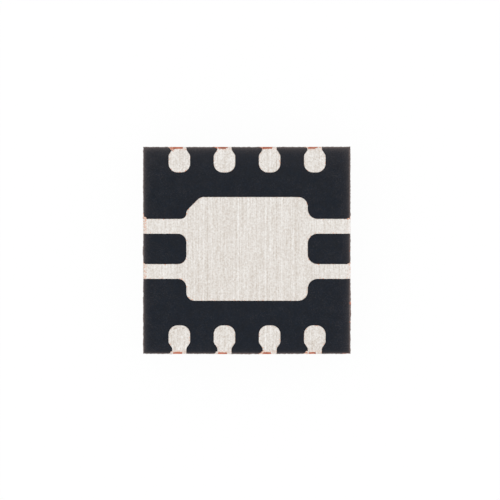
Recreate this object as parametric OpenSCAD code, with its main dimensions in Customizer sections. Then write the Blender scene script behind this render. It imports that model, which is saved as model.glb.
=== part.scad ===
// Voltage regulator chip in a moulded leadless package, eight terminals and an exposed die pad.
// Millimetres. The marked face lies on the ground plane and the solder face looks up, as a chip
// lies on a bench upside down. +Y is the row of terminals 1 to 4, -X the side with terminal 1.

/* [Package] */
// Sawn width of the moulding, along the rows of terminals
package_x = 2.98; // [2.9:0.01:3.1]
// Sawn length of the moulding, from one row of terminals to the other
package_y = 2.98; // [2.9:0.01:3.1]
// Height of the moulding, from the marked face to the solder face
package_h = 0.89; // [0.75:0.01:1.1]
// Sideways shift of the copper against the saw cuts
saw_shift_x = 0.006; // [-0.03:0.001:0.03]
// Lengthways shift of the copper against the saw cuts
saw_shift_y = 0.021; // [-0.03:0.001:0.03]
// Diameter of the dot that marks terminal 1, burnt into the marked face
dot_d = 0.3; // [0.2:0.01:0.4]
// Depth of that dot
dot_depth = 0.02; // [0.01:0.005:0.04]
// Distance from the dot's centre to each of the two nearest sawn sides
dot_inset = 0.45; // [0.35:0.01:0.6]

/* [Leadframe] */
// Thickness of the copper
copper_t = 0.203; // [0.15:0.001:0.25]
// Thickness of the ledges left where the copper is etched from the solder side
ledge_t = 0.1; // [0.06:0.005:0.12]
// Thickness of the tin plating that stands proud of the moulding
plating_t = 0.012; // [0.008:0.001:0.02]

/* [Terminals] */
// Pitch of the terminals
lead_pitch = 0.65; // [0.6:0.01:0.66]
// Width of a terminal's head
lead_w = 0.312; // [0.26:0.002:0.34]
// Distance between the round tips of the two rows
tip_gap = 2.2; // [2.14:0.01:2.26]
// Radius of the two corners at a tip
tip_r = 0.13; // [0.05:0.005:0.15]
// Length of the head, from its tip to its shoulders
head_l = 0.25; // [0.22:0.005:0.28]
// Length over which the shoulders narrow to the neck
shoulder_l = 0.078; // [0.05:0.002:0.09]
// Radius at the shoulders and at the root of the neck
shoulder_r = 0.06; // [0.01:0.005:0.1]
// Width of the neck that runs out to the saw cut
neck_w = 0.205; // [0.18:0.005:0.24]
// Reach of the buried ledge beyond a terminal's tip
tip_ledge = 0.1; // [0.06:0.005:0.11]
// Reach of the buried ledge beyond a terminal's sides
side_ledge = 0.035; // [0.02:0.005:0.05]

/* [Die pad] */
// Width of the exposed pad, along the rows of terminals
pad_x = 1.75; // [1.6:0.01:1.9]
// Length of the exposed pad
pad_y = 1.495; // [1.4:0.005:1.55]
// Radius of the pad's two corners on the right
right_corner_r = 0.14; // [0.03:0.005:0.15]
// Radius of the pad's lower left corner
left_corner_r = 0.12; // [0.03:0.005:0.14]
// Leg of the 45 degree cut that marks terminal 1's corner of the pad
pad_cut = 0.2; // [0.12:0.01:0.22]
// Radius at both ends of that cut
pad_cut_r = 0.12; // [0.01:0.005:0.15]
// Reach of the buried ledge round the pad
pad_ledge = 0.08; // [0.05:0.005:0.1]
// Width of a tie bar
bar_w = 0.215; // [0.17:0.005:0.25]
// Distance between the centre lines of a side's two tie bars
bar_pitch = 0.65; // [0.6:0.01:0.7]
// Radius where a tie bar on the right meets the pad
right_bar_r = 0.14; // [0.05:0.005:0.16]
// Radius where a tie bar on the left meets the pad
left_bar_r = 0.12; // [0.05:0.005:0.16]

/* [Saw marks] */
// Width of the strip at each terminal's sawn end where the saw has bared the copper
bare_w = 0.12; // [0.08:0.01:0.14]
// Depth of that strip
bare_d = 0.024; // [0.01:0.002:0.04]
// Shift of that strip towards the burr
bare_shift = 0.028; // [0:0.002:0.03]
// Length of the burr that the saw drags out along a sawn edge
burr_l = 0.036; // [0.02:0.002:0.05]
// Width of the burr where it leaves its terminal or tie bar
burr_w = 0.03; // [0.015:0.002:0.04]

/* [Die] */
// Size of the die along X
die_x = 1.1; // [0.9:0.01:1.2]
// Size of the die along Y
die_y = 1.0; // [0.8:0.01:1.1]
// Thickness of the die
die_t = 0.2; // [0.12:0.01:0.22]
// Thickness of the glue under the die
glue_t = 0.02; // [0.01:0.005:0.03]
// Reach of the glue's fillet round the die
glue_reach = 0.06; // [0.03:0.005:0.07]
// Height of that fillet up the die's sides
glue_climb = 0.08; // [0.04:0.01:0.11]

/* [Bond wires] */
// Diameter of the wire
wire_d = 0.025; // [0.018:0.001:0.033]
// Diameter of the squashed ball on the die
ball_d = 0.06; // [0.045:0.001:0.07]
// Height of the squashed ball
ball_h = 0.016; // [0.01:0.001:0.025]
// Height of the loop over the die
loop_h = 0.13; // [0.08:0.01:0.16]
// Width of the aluminium pad on the die under each ball
bond_pad_w = 0.08; // [0.072:0.002:0.1]
// Thickness of that aluminium
bond_pad_t = 0.002; // [0.001:0.0005:0.004]
// Distance from a bond pad's centre to the die's edge
bond_inset = 0.08; // [0.06:0.005:0.1]
// Distance between the middle two bond pads of a row
bond_gap = 0.3; // [0.2:0.01:0.4]
// Distance from a ledge's edge to the point where a wire lands on it
landing_inset = 0.09; // [0.07:0.005:0.12]
// Length of the flattened stitch at a wire's end
stitch_l = 0.07; // [0.05:0.005:0.08]
// Width of that stitch
stitch_w = 0.05; // [0.035:0.005:0.06]
// Thickness of that stitch
stitch_t = 0.007; // [0.004:0.001:0.01]

/* [Hidden] */
ROW = 4;

MOULD = [0.15, 0.16, 0.19];
COPPER = [0.72, 0.4, 0.28];
TIN = [0.89, 0.87, 0.84];
SILICON = [0.35, 0.37, 0.42];
GLUE = [0.75, 0.75, 0.72];
GOLD = [0.9, 0.72, 0.35];

// Heights
inner_z = package_h - copper_t;
glue_top = glue_t;
die_top = glue_t + die_t;
ball_base = die_top + bond_pad_t;
loop_top = die_top + loop_h;

// Distances from the copper's own centre
tip_y = tip_gap / 2;
shoulder_y = tip_y + head_l;
neck_y = shoulder_y + shoulder_l;
landing_y = tip_y - tip_ledge + landing_inset;
ground_landing_x = pad_x / 2 + pad_ledge - landing_inset - stitch_l;
bar_in = (bar_pitch - bar_w) / 2;
bar_out = (bar_pitch + bar_w) / 2;

// Fineness of round outlines, in degrees, and of the wires
ARC_STEP = 9;
WIRE_SIDES = 8;
WIRE_RINGS = 14;
$fn = 48;

// Terminals 1 to 4 run along +Y from -X to +X, and 5 to 8 come back along -Y
function row_side(i) = i < ROW ? 1 : -1;
function row_place(i) = i < ROW ? i - (ROW - 1) / 2 : (3 * ROW - 1) / 2 - i;
function lead_x(i) = row_place(i) * lead_pitch;
function bond_x(i) =
    let (place = row_place(i), inner = bond_gap / 2, outer = die_x / 2 - bond_inset)
    sign(place) * (abs(place) < 1 ? inner : outer);

// Distance from the copper's centre line to the saw cut on one side
function saw_y(side) = package_y / 2 - side * saw_shift_y;
function saw_x(side) = package_x / 2 - side * saw_shift_x;

function unit(v) = v / norm(v);

// How far along its edges a corner's rounding starts, when nothing is in its way
function wanted_reach(before, corner, after, r) =
    let (half = acos(unit(before - corner) * unit(after - corner)) / 2)
    r / tan(half);

// What a rounding gets of an edge that it may share with the next corner's rounding
function share_of(edge, mine, other) = mine + other > edge ? edge * mine / (mine + other) : mine;

// One corner of an outline, rounded by an arc that starts at this reach along both edges
function rounded_corner(before, corner, after, reach) =
    let (
        u = unit(before - corner),
        v = unit(after - corner),
        half = acos(u * v) / 2,
        r = reach * tan(half),
        centre = corner + unit(u + v) * r / sin(half),
        start = corner + u * reach - centre,
        end = corner + v * reach - centre,
        swing = sign(start.x * end.y - start.y * end.x) * (180 - 2 * half),
        steps = max(2, ceil(abs(swing) / ARC_STEP)),
        from = atan2(start.y, start.x)
    )
    [for (k = [0:steps]) centre + r * [cos(from + swing * k / steps), sin(from + swing * k / steps)]];

// An outline from corners given as [x, y, radius]; close neighbours share the edge between them
function rounded_path(c) =
    let (
        n = len(c),
        p = [for (k = c) [k.x, k.y]],
        wanted = [for (i = [0:n - 1]) wanted_reach(p[(i + n - 1) % n], p[i], p[(i + 1) % n], c[i].z)]
    )
    [
        for (i = [0:n - 1])
            let (
                last = (i + n - 1) % n,
                next = (i + 1) % n,
                reach = min(
                    share_of(norm(p[i] - p[last]), wanted[i], wanted[last]),
                    share_of(norm(p[next] - p[i]), wanted[i], wanted[next])
                )
            )
            each c[i].z > 0 ? rounded_corner(p[last], p[i], p[next], reach) : [p[i]]
    ];

// One tie bar's four corners, from its root on the pad out to the saw cut and back
function bar_corners(root, end, first_y, last_y, r) = [
    [root, first_y, r],
    [end, first_y, 0],
    [end, last_y, 0],
    [root, last_y, r]
];

// The same with the burr that the saw leaves on the bar's +Y side
function burred_bar_corners(root, end, first_y, last_y, r) =
    let (plain = bar_corners(root, end, first_y, last_y, r), step = sign(end) * burr_w)
    last_y > first_y
        ? [plain[0], plain[1], [end, last_y + burr_l, 0], [end - step, last_y, 0], plain[3]]
        : [plain[0], [end - step, first_y, 0], [end, first_y + burr_l, 0], plain[2], plain[3]];

// The die pad with its tie bars, grown all round by the ledge, which leaves the bars as they are
function pad_outline(ledge, burred) =
    let (
        x = pad_x / 2 + ledge,
        y = pad_y / 2 + ledge,
        cut = pad_cut + ledge * (2 - sqrt(2)),
        right_root = root_radius(right_bar_r, ledge),
        left_root = root_radius(left_bar_r, ledge),
        right = saw_x(1),
        left = -saw_x(-1)
    )
    rounded_path(concat(
        [[x, -y, right_corner_r + ledge]],
        bar_at(x, right, -bar_out, -bar_in, right_root, burred),
        bar_at(x, right, bar_in, bar_out, right_root, burred),
        [[x, y, right_corner_r + ledge], [-x + cut, y, pad_cut_r], [-x, y - cut, pad_cut_r]],
        bar_at(-x, left, bar_out, bar_in, left_root, burred),
        bar_at(-x, left, -bar_in, -bar_out, left_root, burred),
        [[-x, -y, left_corner_r + ledge]]
    ));

// The radius at a tie bar's root shrinks as the ledge grows the pad, but stays round
function root_radius(r, ledge) = max(r - ledge, r / 5);

function bar_at(root, end, first_y, last_y, r, burred) =
    burred
        ? burred_bar_corners(root, end, first_y, last_y, r)
        : bar_corners(root, end, first_y, last_y, r);

// The outer end of a terminal's outline at the saw cut, plain or with its bared strip and burr
function lead_end(end_y) = [[neck_w / 2, end_y, 0], [-neck_w / 2, end_y, 0]];
function sawn_lead_end(end_y) = [
    [neck_w / 2, end_y, 0],
    [bare_w / 2 - bare_shift, end_y, 0],
    [bare_w / 2 - bare_shift, end_y - bare_d, 0],
    [-bare_w / 2 - bare_shift, end_y - bare_d, 0],
    [-bare_w / 2 - bare_shift, end_y, 0],
    [-neck_w / 2 - burr_l, end_y, 0],
    [-neck_w / 2, end_y - burr_w, 0]
];

// A terminal whose round tip points to -Y, grown by the buried ledge at its tip and sides
function lead_outline(tip_grow, side_grow, end) =
    let (w = lead_w / 2 + side_grow, n = neck_w / 2, r = tip_r + side_grow)
    rounded_path(concat(
        [[w, tip_y - tip_grow, r], [w, shoulder_y, shoulder_r], [n, neck_y, shoulder_r]],
        end,
        [[-n, neck_y, shoulder_r], [-w, shoulder_y, shoulder_r], [-w, tip_y - tip_grow, r]]
    ));

// Moves copper from its own centre to where the saw cuts have left it
module on_leadframe() {
    translate([saw_shift_x, saw_shift_y, 0]) children();
}

// Puts terminal i's shape in its row
module in_row(i) {
    on_leadframe()
        translate([lead_x(i), 0, 0])
            mirror([0, row_side(i) < 0 ? 1 : 0, 0])
                children();
}

// Hangs what is built upwards from the copper's inner face below that face
module on_inner_face() {
    on_leadframe()
        translate([0, 0, inner_z])
            mirror([0, 0, 1])
                children();
}

module die_pad() {
    color(COPPER) on_leadframe() translate([0, 0, inner_z]) {
        linear_extrude(copper_t) polygon(pad_outline(0, false));
        linear_extrude(ledge_t) polygon(pad_outline(pad_ledge, false));
    }
}

module pad_plating() {
    color(TIN) on_leadframe() translate([0, 0, package_h])
        linear_extrude(plating_t) polygon(pad_outline(0, true));
}

module lead(i) {
    plain_end = lead_end(saw_y(row_side(i)));
    color(COPPER) in_row(i) translate([0, 0, inner_z]) {
        linear_extrude(copper_t) polygon(lead_outline(0, 0, plain_end));
        linear_extrude(ledge_t) polygon(lead_outline(tip_ledge, side_ledge, plain_end));
    }
}

module lead_plating(i) {
    color(TIN) in_row(i) translate([0, 0, package_h])
        linear_extrude(plating_t)
            polygon(lead_outline(0, 0, sawn_lead_end(saw_y(row_side(i)))));
}

// The glue's fillet along one side of the die, climbing from its outer edge to the die
module glue_side(length, half_width) {
    translate([-length / 2, half_width, 0])
        rotate([90, 0, 90])
            linear_extrude(length)
                polygon([[0, 0], [glue_reach, 0], [0, glue_climb]]);
}

// A layer under the die with a fillet that climbs the die's sides and turns round its corners
module die_attach() {
    color(GLUE) on_inner_face() difference() {
        union() {
            translate([-die_x / 2, -die_y / 2, 0]) cube([die_x, die_y, glue_climb]);
            for (turn = [0, 180]) rotate(turn) {
                glue_side(die_x, die_y / 2);
                rotate(90) glue_side(die_y, die_x / 2);
            }
            for (sx = [-1, 1], sy = [-1, 1])
                translate([sx * die_x / 2, sy * die_y / 2, 0])
                    cylinder(r1 = glue_reach, r2 = 0, h = glue_climb);
        }
        translate([-die_x / 2, -die_y / 2, glue_top]) cube([die_x, die_y, die_t]);
    }
}

// The die with a square of aluminium under each wire's ball
module silicon_die() {
    color(SILICON) on_inner_face() {
        translate([-die_x / 2, -die_y / 2, glue_top]) cube([die_x, die_y, die_t]);
        for (place = concat([for (i = [0:2 * ROW - 1]) bond_place(i)], [ground_place()]))
            translate([place.x - bond_pad_w / 2, place.y - bond_pad_w / 2, die_top])
                cube([bond_pad_w, bond_pad_w, bond_pad_t]);
    }
}

function bond_place(i) = [bond_x(i), row_side(i) * (die_y / 2 - bond_inset)];
function landing_place(i) = [lead_x(i), row_side(i) * landing_y];
function ground_place() = [-die_x / 2 + bond_inset, 0];
function ground_landing() = [-ground_landing_x, 0];

// The wire's centre line in its own upright plane: up from the ball, over, and down to the stitch
function loop_corners(span) =
    let (lift = 4 / 3 * (loop_top - ball_base - ball_h))
    [
        [0, ball_base + ball_h],
        [0, ball_base + ball_h + lift],
        [0.35 * span, ball_base + ball_h + lift],
        [span, 0]
    ];
function bezier(c, t) =
    pow(1 - t, 3) * c[0] + 3 * t * pow(1 - t, 2) * c[1] + 3 * t * t * (1 - t) * c[2] + pow(t, 3) * c[3];
function bezier_slope(c, t) =
    unit(pow(1 - t, 2) * (c[1] - c[0]) + 2 * t * (1 - t) * (c[2] - c[1]) + t * t * (c[3] - c[2]));

// One ring of points round the centre line; the last one is cut level by the face it lands on
function wire_ring(c, k) =
    let (
        t = k / WIRE_RINGS,
        middle = bezier(c, t),
        along = bezier_slope(c, t),
        across = [-along.y, along.x],
        r = wire_d / 2
    )
    [
        for (s = [0:WIRE_SIDES - 1])
            let (
                angle = 360 * (s + 0.5) / WIRE_SIDES,
                flat = middle + r * cos(angle) * across,
                drop = k == WIRE_RINGS ? flat.y / along.y : 0,
                foot = flat - drop * along
            )
            [foot.x, r * sin(angle), foot.y]
    ];

module wire_loop(span) {
    corners = loop_corners(span);
    last = WIRE_RINGS * WIRE_SIDES;
    points = [for (k = [0:WIRE_RINGS]) each wire_ring(corners, k)];
    sides = [
        for (k = [0:WIRE_RINGS - 1], s = [0:WIRE_SIDES - 1])
            let (a = k * WIRE_SIDES + s, b = k * WIRE_SIDES + (s + 1) % WIRE_SIDES)
            each [[a, b, b + WIRE_SIDES], [a, b + WIRE_SIDES, a + WIRE_SIDES]]
    ];
    first_cap = [for (s = [WIRE_SIDES - 1:-1:0]) s];
    last_cap = [for (s = [0:WIRE_SIDES - 1]) last + s];
    polyhedron(points, concat(sides, [first_cap, last_cap]), convexity = 4);
}

// A wire from its ball on the die to its stitch, both given from the copper's centre
module wire(from, to) {
    span = norm(to - from);
    color(GOLD) on_inner_face()
        translate([from.x, from.y, 0])
            rotate(atan2(to.y - from.y, to.x - from.x)) {
                translate([0, 0, ball_base]) cylinder(d = ball_d, h = ball_h);
                wire_loop(span);
                translate([span - wire_d / 2, 0, 0]) stitch();
            }
}

// The flattened end of a wire, a tongue with a round tip
module stitch() {
    linear_extrude(stitch_t) union() {
        translate([0, -stitch_w / 2]) square([stitch_l - stitch_w / 2, stitch_w]);
        translate([stitch_l - stitch_w / 2, 0]) circle(d = stitch_w);
    }
}

module bond_wire(i) {
    wire(bond_place(i), landing_place(i));
}

module ground_bond_wire() {
    wire(ground_place(), ground_landing());
}

// The moulding, sawn square on its four sides and filled with everything that it holds
module mold_body() {
    color(MOULD) difference() {
        translate([-package_x / 2, -package_y / 2, 0]) cube([package_x, package_y, package_h]);
        die_pad();
        die_attach();
        silicon_die();
        ground_bond_wire();
        for (i = [0:2 * ROW - 1]) {
            lead(i);
            bond_wire(i);
        }
        translate([dot_inset - package_x / 2, package_y / 2 - dot_inset, -dot_depth])
            cylinder(d = dot_d, h = 2 * dot_depth);
    }
}

mold_body();
die_pad();
pad_plating();
die_attach();
silicon_die();
ground_bond_wire();
for (i = [0:2 * ROW - 1]) {
    lead(i);
    lead_plating(i);
    bond_wire(i);
}
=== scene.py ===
"""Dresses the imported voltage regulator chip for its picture.

The chip lies on its marked face and shows its solder face, as in the photograph. The moulding and
the copper start from the CAD's own meshes, which are cut finely near the saw cuts and then worn.
The tin is built anew, with rounded rims and with the edges that the saw has torn. Lengths are in
millimetres until a mesh is handed to Blender, and angles are in degrees.
"""

import math
from collections import namedtuple

import bmesh
import bpy
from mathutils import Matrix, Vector, noise
from mathutils.geometry import delaunay_2d_cdt
from mathutils.kdtree import KDTree


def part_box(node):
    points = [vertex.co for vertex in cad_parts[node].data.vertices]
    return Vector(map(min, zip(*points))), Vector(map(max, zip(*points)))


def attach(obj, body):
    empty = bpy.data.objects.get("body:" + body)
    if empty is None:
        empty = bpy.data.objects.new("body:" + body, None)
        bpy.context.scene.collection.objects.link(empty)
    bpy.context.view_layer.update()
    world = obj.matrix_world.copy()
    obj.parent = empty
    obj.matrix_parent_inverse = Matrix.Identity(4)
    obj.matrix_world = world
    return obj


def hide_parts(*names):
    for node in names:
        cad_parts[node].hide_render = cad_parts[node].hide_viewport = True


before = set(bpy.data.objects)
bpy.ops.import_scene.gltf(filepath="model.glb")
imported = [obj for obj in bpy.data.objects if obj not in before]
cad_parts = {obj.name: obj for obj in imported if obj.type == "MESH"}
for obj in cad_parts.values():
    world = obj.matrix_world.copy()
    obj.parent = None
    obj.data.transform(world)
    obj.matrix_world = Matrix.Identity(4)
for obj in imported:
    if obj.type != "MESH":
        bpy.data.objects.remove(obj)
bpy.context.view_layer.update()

X, Y, Z = 0, 1, 2
# A millimetre in Blender's metres
MM = 0.001

# Sizes, in millimetres

# Points closer together than this are one
WELD = 0.0001
# The least turn at which a point counts as a corner of an outline, as the sine of the turn
CORNER_TURN = 0.002
# Faces that look up or down at least this squarely are shaded flat
FLAT_NORMAL = 0.9999
# Faces that meet at more than this angle keep a sharp edge between them
SHARP_ANGLE = 38

LEADS = range(1, 9)
# The die pad's width between its tie bars
PAD_WIDTH = 1.75

# How fine the meshes are cut near the saw cuts, and the insets of the lines along each sharp edge
STATION_STEP = 0.012
EDGE_INSETS = (0.002, 0.004, 0.007, 0.011, 0.017, 0.026, 0.04, 0.06)
WALL_ROW_STEP = 0.07

# Wear of the moulding's edges: the least radius, the radius in the worst chips and their spacing
EDGE_RADIUS = 0.0035
CHIP_RADIUS = 0.013
CHIP_SPACING = 0.055
# The radius grows with the chips' noise times this gain, from where that passes the start
CHIP_GAIN = 1.8
CHIP_START = 0.25
# Depth of the saw's unevenness in the moulding's sides, how far in it dies away, its waves, and
# their number along Z for one along X or Y
SAW_ROUGHNESS = 0.009
SAW_REACH = 0.06
SAW_WAVE = 0.03
SAW_UPRIGHT = 0.6
# The sides are torn at their upper and lower edges, over this reach, and the torn edges stand out a
# little. Between them the sides keep a small share of the unevenness, and lie further in.
TORN_REACH = 0.04
TORN_RISE = 0.0012
GROUND_SHARE = 0.12
GROUND_DEPTH = 0.003
# How far each sawn side stands out from its plane on average, and its bulges: the place along the
# side, half the bulge's length, and its height
SAW_SWING = {(X, -1): 0.0007, (X, 1): 0.0042, (Y, -1): 0.0005, (Y, 1): -0.0008}
SAW_BULGES = {
    (X, -1): ((-0.009, 0.08, 0.007),),
    (X, 1): ((-0.82, 0.4, 0.007),),
    (Y, -1): ((0.02, 1.0, 0.0045), (1.44, 0.12, -0.0045), (-1.47, 0.09, -0.003)),
    (Y, 1): ((1.25, 0.5, 0.0025),),
}

# The copper's sawn ends are further apart than this along a cut, and the middles of an end's faces
# lie less than this far in
END_GAP = 0.25
END_DEPTH = 0.2
# Their wear: the edges' radius, how far the ends swell out, how much both vary along the ends and
# in which waves, and how fine the ends are cut
COPPER_RADIUS = 0.006
RADIUS_SPREAD = 0.6
RADIUS_WAVE = 0.03
COPPER_SWELL = 0.0015
SWELL_WAVE = 0.035
COPPER_STEP = 0.01

# Rims of the tin: their radius, which stays below this share of the thickness, and their steps
RIM_RADIUS = 0.006
RIM_LIMIT = 0.8
RIM_STEPS = 3
# Width of the band along the tin's outline in which copper shows through in specks. Its inner
# points keep this share of the width from the outline, and its faces are at most so many widths.
RIM_BAND = 0.012
BAND_DISTANCE = 0.8
BAND_STRETCH = 3
# Unevenness of the etched outlines: their steps, the depth and the waves
OUTLINE_STEP = 0.008
OUTLINE_ROUGHNESS = 0.0022
OUTLINE_WAVE = 0.04
# Corners of an outline move no further than at this cosine of half their turn
LEAST_COSINE = 0.5

# Finer waves are laid over the main ones: how much finer they are, and the weights of both
OUTLINE_WAVES = (2.3, 1.0, 0.5)
CHIP_WAVES = (2.7, 1.0, 0.6)
SAW_WAVES = (2.1, 0.7, 0.3)

# The tin's torn edge at each terminal's saw cut, from right to left: distance along the cut from
# the terminal's middle, and distance from the cut, both in micrometres
TORN_EDGES = {
    1: ((50, 0), (46, 27), (0, 28), (-52, 28), (-80, 33), (-96, 52)),
    2: ((52, 0), (46, 13), (22, 17), (16, 27), (-62, 26), (-89, 24), (-95, 0)),
    3: ((40, 0), (35, 26), (-20, 27), (-66, 27), (-92, 34), (-99, 46)),
    4: ((42, 0), (36, 15), (6, 17), (0, 27), (-60, 27), (-90, 26), (-97, 32)),
    5: ((16, 0), (10, 24), (-40, 25), (-78, 24), (-84, 14), (-90, 0)),
    6: ((22, 0), (15, 25), (-40, 27), (-80, 25), (-98, 28)),
    7: ((38, 0), (32, 22), (-40, 24), (-86, 26), (-94, 0)),
    8: ((42, 0), (36, 26), (-20, 27), (-70, 25), (-88, 22), (-92, 0)),
}
# How far below the last torn point the neck's own flank starts
FLANK_DROP = 0.006
# Outlines of the three kinds of burr, as shares of its length along the cut and of its width
WEDGE = ((-0.2, 0.0), (1.0, 0.0), (0.75, 0.22), (0.35, 0.5), (0.08, 1.0), (-0.2, 0.85))
BLOCK = ((-0.2, 0.0), (1.0, 0.0), (0.7, 0.25), (0.45, 0.55), (0.4, 0.95), (-0.2, 1.0))
TAIL = ((-0.1, 0.0), (1.0, 0.0), (0.96, 0.18), (0.4, 0.22), (0.32, 0.65), (0.2, 0.95), (-0.1, 1.0))
# The burr beside each terminal and tie bar: its kind, and its length and width in micrometres
BURRS = {
    1: (BLOCK, 64, 48),
    2: (WEDGE, 70, 26),
    3: (WEDGE, 52, 30),
    4: (WEDGE, 60, 20),
    5: (BLOCK, 68, 44),
    6: (WEDGE, 72, 42),
    7: (BLOCK, 60, 36),
    8: (BLOCK, 54, 38),
}
BAR_BURRS = ((TAIL, 38, 26), (TAIL, 84, 50), (TAIL, 32, 44), (TAIL, 38, 46))
# Their height, how deep they are sunk, their rims' radius, and steps and depth of their waves
BURR_HEIGHT = 0.008
BURR_SINK = 0.001
BURR_RIM = 0.004
BURR_STEP = 0.004
BURR_ROUGHNESS = 0.00176
# The seeds of the burrs count from here on, and those of the films beside the bars
BURR_SEED = 50
BAR_FILM_SEED = 20

# The film of copper that the saw has drawn over the moulding beside each sawn end: its greatest
# length, its thickness, how deep its root is sunk in the copper, the steps of its points along it
# and from row to row, and the waves of its torn edge and of the thin tongues on that
FILM_LENGTH = 0.042
FILM_THICKNESS = 0.0025
FILM_SINK = 0.004
FILM_STEP = 0.006
FILM_ROW_STEP = 0.004
FILM_WAVE = 0.055
TONGUE_WAVE = 0.013
# The edge lies at this share of the length on average and never below the least one. The waves
# move it by their spread, and the tongues stand out from where their noise starts, by their gain.
FILM_MEAN = 0.2
FILM_LEAST = 0.06
FILM_SPREAD = 0.5
TONGUE_START = 0.1
TONGUE_GAIN = 1.6

# The recess of the dot on the marked face: its depth in the CAD, and the steps, the depth and the
# waves of its floor's unevenness
DOT_DEPTH = 0.02
DOT_STEP = 0.012
DOT_ROUGHNESS = 0.004
DOT_WAVE = 0.0204

# The floor: half its length, its colour, the share of plain white in what the camera and mirrors
# see of it, the strength of that white, and how far it lies below the chip
FLOOR_HALF = 300
FLOOR_COLOUR = (0.97, 0.97, 0.97)
FLOOR_GLOW = 0.95
FLOOR_WHITE = 1.01
FLOOR_DROP = 0.001

# Light: a white room, and a wide sun, with its tilts about X and Y
WORLD_STRENGTH = 0.826
SUN_STRENGTH = 0.372
SUN_ANGLE = 90
SUN_TILT = (28, -24)

# The photograph looks straight down, and takes in this width of the solder face, about this point
PHOTO_WIDTH = 7.197
PHOTO_CENTRE = (0.048, 0.005)
# The camera's lens, the width of its sensor and the furthest that it sees
LENS = 200
SENSOR = 36
FARTHEST = 1000

# Colours, linear

TIN = (0.79, 0.748, 0.703)
TIN_DARK = (0.584, 0.517, 0.451)
TIN_LIGHT = (1.0, 0.985, 0.959)
THIN_TIN = (0.86, 0.62, 0.48)
BARE_SPECK = (0.78, 0.38, 0.24)
COPPER_FRESH = (0.56, 0.19, 0.115)
# Dull copper, which also stands for painted dark reflection in the saw-line streaks
COPPER_DULL_AND_DARK_REFLECTION = (0.34, 0.11, 0.068)
# Painted glints on the scratches of the sawn copper
COPPER_GLINT = (0.86, 0.50, 0.37)
COPPER_DUST = (0.17, 0.078, 0.060)
WORN_EDGE = (0.262, 0.207, 0.190)
SMEARED = (0.82, 0.60, 0.49)
MOULD = (0.0078, 0.0119, 0.0200)
MOULD_WARM = (0.0100, 0.0127, 0.0188)
MARKED_MOULD = (0.0170, 0.0183, 0.0218)
# Dust on the moulding. Along the solder face's sawn edges it also stands for painted glare.
MOULD_DUST_AND_GLARE = (0.079, 0.069, 0.071)
SAWN_MOULD = (0.042, 0.041, 0.044)
FILLER_LIGHT = (0.12, 0.12, 0.125)
FILLER_DARK = (0.015, 0.016, 0.018)
BURNT_MOULD = (0.105, 0.098, 0.092)
SILICON = (0.09, 0.10, 0.12)
GLUE = (0.48, 0.48, 0.44)
GOLD = (0.80, 0.52, 0.12)


# Outlines and meshes


def box_mm(node):
    low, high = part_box(node)
    return low / MM, high / MM


mould_low, mould_high = box_mm("mold_body")
solder_z = box_mm("pad_plating")[1].z
pad_half = PAD_WIDTH / 2
plating = solder_z - mould_high.z
# The four sawn sides of the moulding: (axis, sign of the way out, position)
sawn_sides = [
    (axis, sign, side[axis])
    for axis in (X, Y)
    for sign, side in ((-1, mould_low), (1, mould_high))
]


def cad_mesh(node):
    """A welded copy of a CAD node's mesh, in millimetres."""
    bm = bmesh.new()
    bm.from_mesh(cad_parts[node].data)
    bmesh.ops.scale(bm, vec=(1 / MM,) * 3, verts=bm.verts)
    bmesh.ops.remove_doubles(bm, verts=bm.verts, dist=WELD)
    return bm


def top_outline(node):
    """The outline of a CAD node's top face, counterclockwise."""
    bm = cad_mesh(node)
    top = max(v.co.z for v in bm.verts)
    lid = {f for f in bm.faces if all(abs(v.co.z - top) < WELD for v in f.verts)}
    following = {}
    for face in lid:
        for loop in face.loops:
            if not any(other in lid for other in loop.edge.link_faces if other is not face):
                following[loop.vert] = loop.link_loop_next.vert
    start = next(iter(following))
    outline, vert = [start.co.xy.copy()], following[start]
    while vert is not start:
        outline.append(vert.co.xy.copy())
        vert = following[vert]
    bm.free()
    return without_straight_points(outline)


def without_straight_points(outline):
    count = len(outline)
    kept = []
    for i, point in enumerate(outline):
        before, after = outline[i - 1], outline[(i + 1) % count]
        turn = (point - before).normalized().cross((after - point).normalized())
        if abs(turn) > CORNER_TURN:
            kept.append(point)
    return kept


def subdivided(outline, step):
    """The closed outline with no edge longer than the step."""
    points = []
    for i, point in enumerate(outline):
        after = outline[(i + 1) % len(outline)]
        parts = max(1, math.ceil((after - point).length / step))
        points += [point.lerp(after, k / parts) for k in range(parts)]
    return points


def outward_normals(outline):
    """The outward normal at each point of a counterclockwise outline, longer at sharp corners."""
    normals = []
    for i, point in enumerate(outline):
        a = (point - outline[i - 1]).normalized()
        b = (outline[(i + 1) % len(outline)] - point).normalized()
        normal = Vector((a.y + b.y, -a.x - b.x))
        cosine = max(LEAST_COSINE, normal.length / 2)
        normals.append(normal.normalized() / cosine)
    return normals


def grown(outline, distance):
    return [p + n * distance for p, n in zip(outline, outward_normals(outline))]


def waves(place, kind):
    """Noise with finer noise over it."""
    finer, main_weight, finer_weight = kind
    return main_weight * noise.noise(place) + finer_weight * noise.noise(place * finer)


def roughened(outline, seed, depth):
    """The outline with small waves of the given depth."""
    points = []
    for point, normal in zip(outline, outward_normals(outline)):
        place = Vector((point.x, point.y, seed)) / OUTLINE_WAVE
        points.append(point + normal.normalized() * depth * waves(place, OUTLINE_WAVES))
    return points


def band_points(outline, width):
    """Points inside the outline, one width away from it."""
    near = KDTree(len(outline))
    for i, point in enumerate(outline):
        near.insert(point.to_3d(), i)
    near.balance()
    least = BAND_DISTANCE * width
    return [p for p in grown(outline, -width) if near.find(p.to_3d())[2] > least]


def filled(outline, inner=()):
    """Triangles over a closed outline, with more points inside it if there are any."""
    count = len(outline)
    edges = [(i, (i + 1) % count) for i in range(count)]
    points = list(outline) + list(inner)
    made = delaunay_2d_cdt([Vector(p) for p in points], edges, [], 1, 1e-7)
    return made[0], made[2]


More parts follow.
